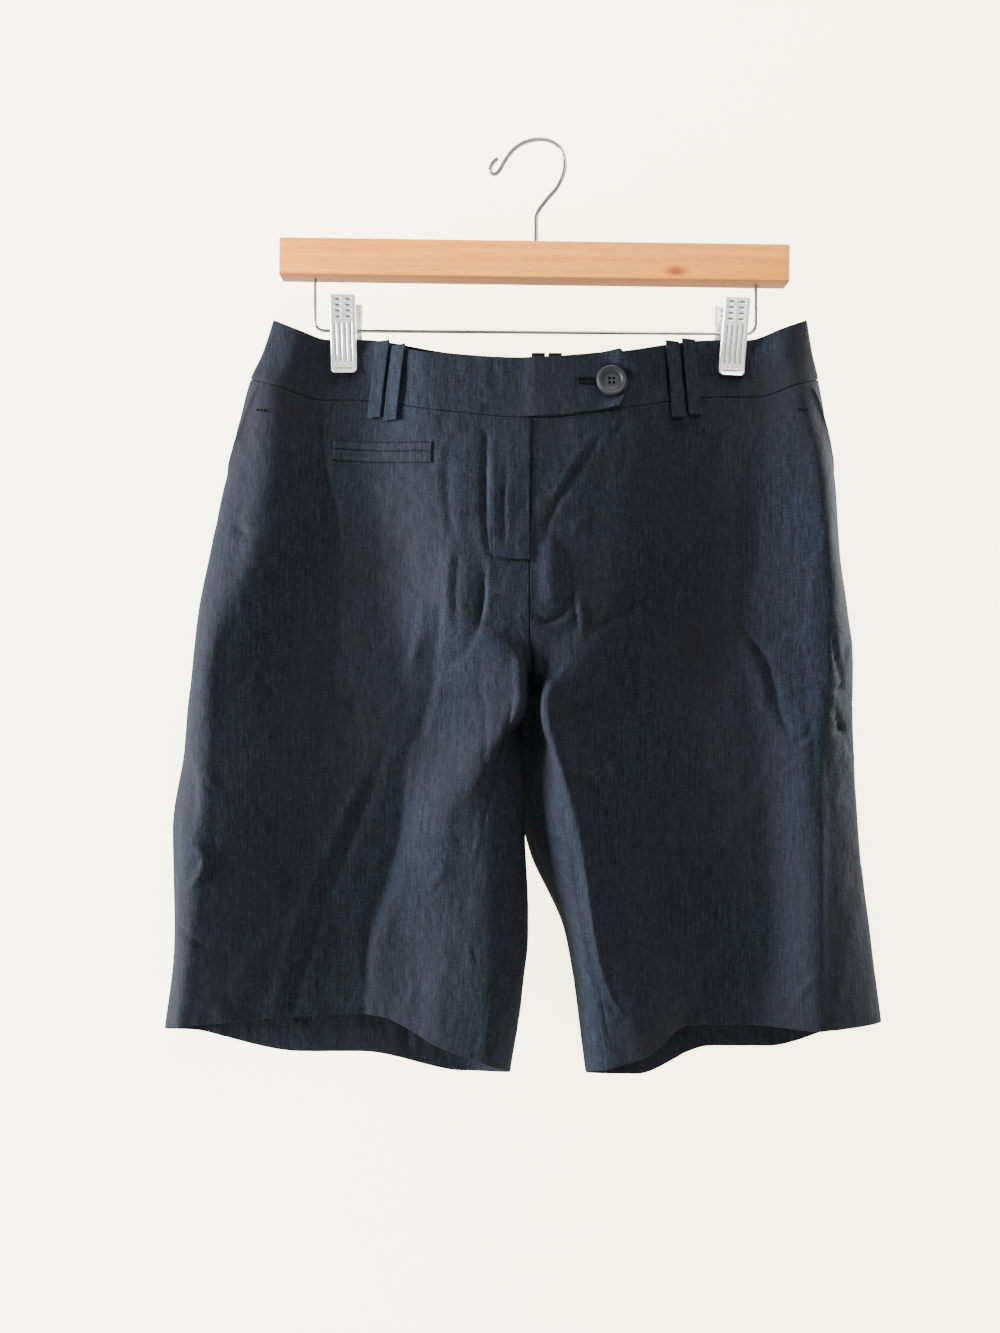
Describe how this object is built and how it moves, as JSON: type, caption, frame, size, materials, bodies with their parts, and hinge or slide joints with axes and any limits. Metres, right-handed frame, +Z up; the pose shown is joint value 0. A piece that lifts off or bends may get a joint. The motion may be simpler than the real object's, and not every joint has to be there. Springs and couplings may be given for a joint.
{
  "type": "bermuda shorts on a wooden clip hanger",
  "caption": "Knee-length chambray shorts with a tab waistband, belt loops and a small welt pocket, held flat by a wooden clip hanger.",
  "frame": {"origin": "inside of the hook's crown, where a wall hook or a rod holds the hanger", "axes": "+Z up, along the object's longest extent; the front of the shorts faces -Y, across its shortest extent; +X towards the wearer's left"},
  "size_m": [0.498, 0.059, 0.6568],
  "materials": {
    "chambray": "dark indigo cross-woven chambray with a slight sheen",
    "zip_tape": "dark woven zip tape",
    "button": "charcoal four-hole button, satin",
    "beech": "clear-lacquered light wood, fine straight grain",
    "steel": "bright plated steel"
  },
  "bodies": {
    "root": {"front_right": "chambray", "front_left": "chambray", "back_right": "chambray", "back_left": "chambray", "side_pocket_facing_right": "chambray", "side_pocket_facing_left": "chambray", "waistband_front_right": "chambray", "waistband_front_left": "chambray", "waistband_back": "chambray", "fly_placket": "chambray", "fly_zip": "zip_tape", "fly_zip_slider": "steel", "welt_upper": "chambray", "welt_lower": "chambray", "belt_loop_1": "chambray", "belt_loop_2": "chambray", "belt_loop_3": "chambray", "belt_loop_4": "chambray", "belt_loop_5": "chambray", "belt_loop_6": "chambray", "button": "button", "hanger_bar": "beech", "hanger_hook": "steel", "hanger_wire": "steel", "clip_right_front": "steel", "clip_right_back": "steel", "clip_right_spring": "steel", "clip_left_front": "steel", "clip_left_back": "steel", "clip_left_spring": "steel"}
  },
  "joints": []
}
